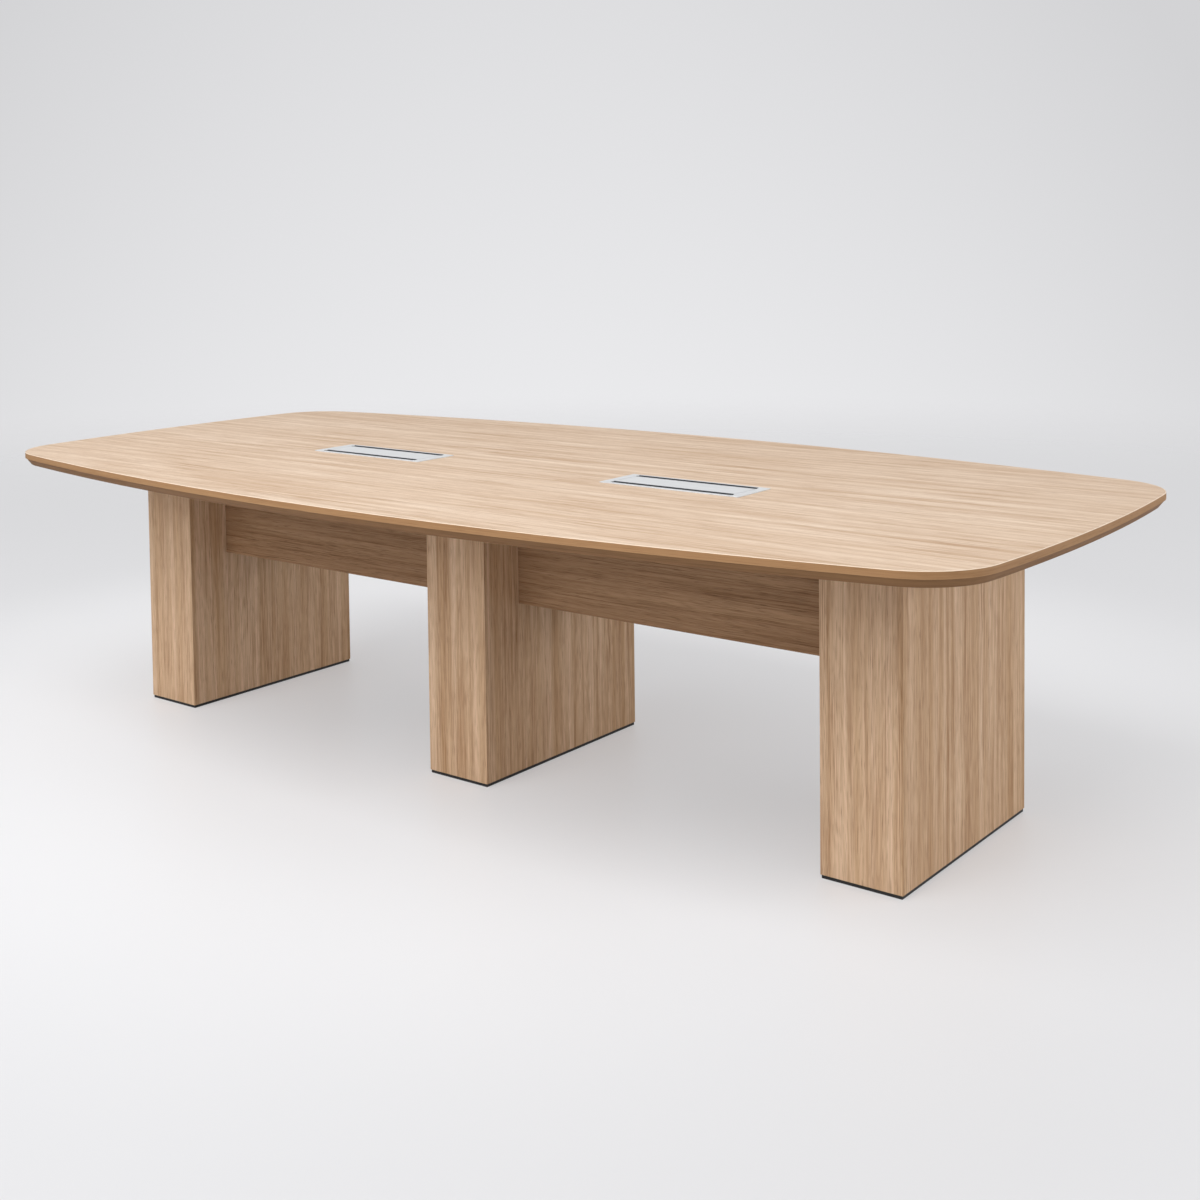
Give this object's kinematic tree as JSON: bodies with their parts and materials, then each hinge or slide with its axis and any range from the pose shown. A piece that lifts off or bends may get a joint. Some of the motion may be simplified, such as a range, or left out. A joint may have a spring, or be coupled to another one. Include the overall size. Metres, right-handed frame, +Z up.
{
  "type": "conference table",
  "caption": "Boat-shaped conference table: bevelled oak laminate top on slab pedestals tied by stretchers, with flush hinged power boxes and levelling feet.",
  "frame": {"origin": "on the floor, under the centre of the top", "axes": "+X along the table, +Y across it towards the lids' hinge side, +Z up"},
  "size_m": [3, 1.5, 0.752],
  "materials": {
    "oak_laminate_top": "satin oak-grain laminate",
    "edge_band": "satin wood-grain edging, glued on",
    "oak_laminate_bevel": "satin oak-grain laminate",
    "oak_laminate_upright": "matt oak-grain laminate, upright grain",
    "oak_laminate_stretcher": "matt oak-grain laminate, grain along the table",
    "raw_chipboard": "raw board",
    "black_base": "black melamine",
    "foot_nylon": "moulded nylon on a threaded stud",
    "zinc_steel": "zinc plated sheet",
    "anodised_aluminium": "silver anodised, fine satin",
    "hinge_steel": "turned",
    "painted_steel": "fine textured powder coat",
    "socket_plastic": "smooth moulded",
    "black_plastic": "fine spark texture"
  },
  "bodies": {
    "table": {"edge_band": "edge_band", "left_back_stretcher": "oak_laminate_stretcher", "left_bay_inner_bracket": "zinc_steel", "left_bay_outer_bracket": "zinc_steel", "left_front_stretcher": "oak_laminate_stretcher", "left_pedestal_back_panel": "oak_laminate_upright", "left_pedestal_base_board": "black_base", "left_pedestal_fixing_board": "raw_chipboard", "left_pedestal_front_panel": "oak_laminate_upright", "left_pedestal_left_panel": "oak_laminate_upright", "left_pedestal_right_panel": "oak_laminate_upright", "left_power_data_block": "black_plastic", "left_power_frame": "anodised_aluminium", "left_power_mains_inlet": "black_plastic", "left_power_socket_block": "socket_plastic", "left_power_socket_housing": "painted_steel", "left_power_well": "painted_steel", "middle_pedestal_back_panel": "oak_laminate_upright", "middle_pedestal_base_board": "black_base", "middle_pedestal_fixing_board": "raw_chipboard", "middle_pedestal_front_panel": "oak_laminate_upright", "middle_pedestal_left_panel": "oak_laminate_upright", "middle_pedestal_right_panel": "oak_laminate_upright", "right_back_stretcher": "oak_laminate_stretcher", "right_bay_inner_bracket": "zinc_steel", "right_bay_outer_bracket": "zinc_steel", "right_front_stretcher": "oak_laminate_stretcher", "right_pedestal_back_panel": "oak_laminate_upright", "right_pedestal_base_board": "black_base", "right_pedestal_fixing_board": "raw_chipboard", "right_pedestal_front_panel": "oak_laminate_upright", "right_pedestal_left_panel": "oak_laminate_upright", "right_pedestal_right_panel": "oak_laminate_upright", "right_power_data_block": "black_plastic", "right_power_frame": "anodised_aluminium", "right_power_mains_inlet": "black_plastic", "right_power_socket_block": "socket_plastic", "right_power_socket_housing": "painted_steel", "right_power_well": "painted_steel", "top_board": "oak_laminate_top", "under_board": "oak_laminate_bevel"},
    "left_lid": {"left_power_lid": "anodised_aluminium", "left_power_hinge_pin_left": "hinge_steel", "left_power_hinge_pin_right": "hinge_steel"},
    "right_lid": {"right_power_lid": "anodised_aluminium", "right_power_hinge_pin_left": "hinge_steel", "right_power_hinge_pin_right": "hinge_steel"},
    "left_foot_front_left": {"left_foot_front_left": "foot_nylon"},
    "left_foot_front_right": {"left_foot_front_right": "foot_nylon"},
    "left_foot_back_left": {"left_foot_back_left": "foot_nylon"},
    "left_foot_back_right": {"left_foot_back_right": "foot_nylon"},
    "middle_foot_front_left": {"middle_foot_front_left": "foot_nylon"},
    "middle_foot_front_right": {"middle_foot_front_right": "foot_nylon"},
    "middle_foot_back_left": {"middle_foot_back_left": "foot_nylon"},
    "middle_foot_back_right": {"middle_foot_back_right": "foot_nylon"},
    "right_foot_front_left": {"right_foot_front_left": "foot_nylon"},
    "right_foot_front_right": {"right_foot_front_right": "foot_nylon"},
    "right_foot_back_left": {"right_foot_back_left": "foot_nylon"},
    "right_foot_back_right": {"right_foot_back_right": "foot_nylon"}
  },
  "joints": [
    {"name": "left_lid_hinge", "type": "hinge", "parent": "table", "child": "left_lid", "pos_m": [-0.504, -0.002, 0.746], "axis": [-1, 0, 0], "range_deg": [0, 100]},
    {"name": "right_lid_hinge", "type": "hinge", "parent": "table", "child": "right_lid", "pos_m": [0.504, -0.002, 0.746], "axis": [-1, 0, 0], "range_deg": [0, 100]},
    {"name": "left_foot_front_left_screw", "type": "slide", "parent": "table", "child": "left_foot_front_left", "axis": [0, 0, -1], "range_m": [0, 0.012]},
    {"name": "left_foot_front_right_screw", "type": "slide", "parent": "table", "child": "left_foot_front_right", "axis": [0, 0, -1], "range_m": [0, 0.012]},
    {"name": "left_foot_back_left_screw", "type": "slide", "parent": "table", "child": "left_foot_back_left", "axis": [0, 0, -1], "range_m": [0, 0.012]},
    {"name": "left_foot_back_right_screw", "type": "slide", "parent": "table", "child": "left_foot_back_right", "axis": [0, 0, -1], "range_m": [0, 0.012]},
    {"name": "middle_foot_front_left_screw", "type": "slide", "parent": "table", "child": "middle_foot_front_left", "axis": [0, 0, -1], "range_m": [0, 0.012]},
    {"name": "middle_foot_front_right_screw", "type": "slide", "parent": "table", "child": "middle_foot_front_right", "axis": [0, 0, -1], "range_m": [0, 0.012]},
    {"name": "middle_foot_back_left_screw", "type": "slide", "parent": "table", "child": "middle_foot_back_left", "axis": [0, 0, -1], "range_m": [0, 0.012]},
    {"name": "middle_foot_back_right_screw", "type": "slide", "parent": "table", "child": "middle_foot_back_right", "axis": [0, 0, -1], "range_m": [0, 0.012]},
    {"name": "right_foot_front_left_screw", "type": "slide", "parent": "table", "child": "right_foot_front_left", "axis": [0, 0, -1], "range_m": [0, 0.012]},
    {"name": "right_foot_front_right_screw", "type": "slide", "parent": "table", "child": "right_foot_front_right", "axis": [0, 0, -1], "range_m": [0, 0.012]},
    {"name": "right_foot_back_left_screw", "type": "slide", "parent": "table", "child": "right_foot_back_left", "axis": [0, 0, -1], "range_m": [0, 0.012]},
    {"name": "right_foot_back_right_screw", "type": "slide", "parent": "table", "child": "right_foot_back_right", "axis": [0, 0, -1], "range_m": [0, 0.012]}
  ]
}
